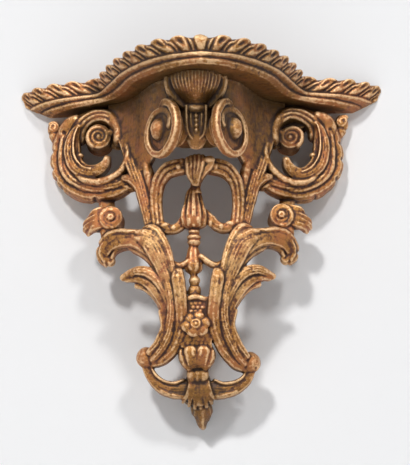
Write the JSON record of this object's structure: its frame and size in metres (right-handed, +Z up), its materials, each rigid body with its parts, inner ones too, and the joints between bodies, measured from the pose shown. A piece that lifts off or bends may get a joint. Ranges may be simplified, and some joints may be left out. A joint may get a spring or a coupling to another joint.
{
  "type": "wall bracket",
  "caption": "Carved and gilded rococo wall bracket: a shaped shelf with a leaf-lobed edge on a pierced scrollwork body that narrows to a drop.",
  "frame": {"origin": "middle of the shelf's back edge on the wall plane, at the centre of the line between the two hanging holes", "axes": "+Z up, +Y into the wall, so the bracket stands out towards -Y, +X along the wall"},
  "size_m": [0.4418, 0.1951, 0.4201],
  "materials": {
    "shelf_gilding": "worn gilding over red clay on carved wood",
    "bracket_gilding": "worn gilding over red clay on carved wood"
  },
  "bodies": {
    "root": {"shelf": "shelf_gilding", "bracket": "bracket_gilding"}
  },
  "joints": []
}
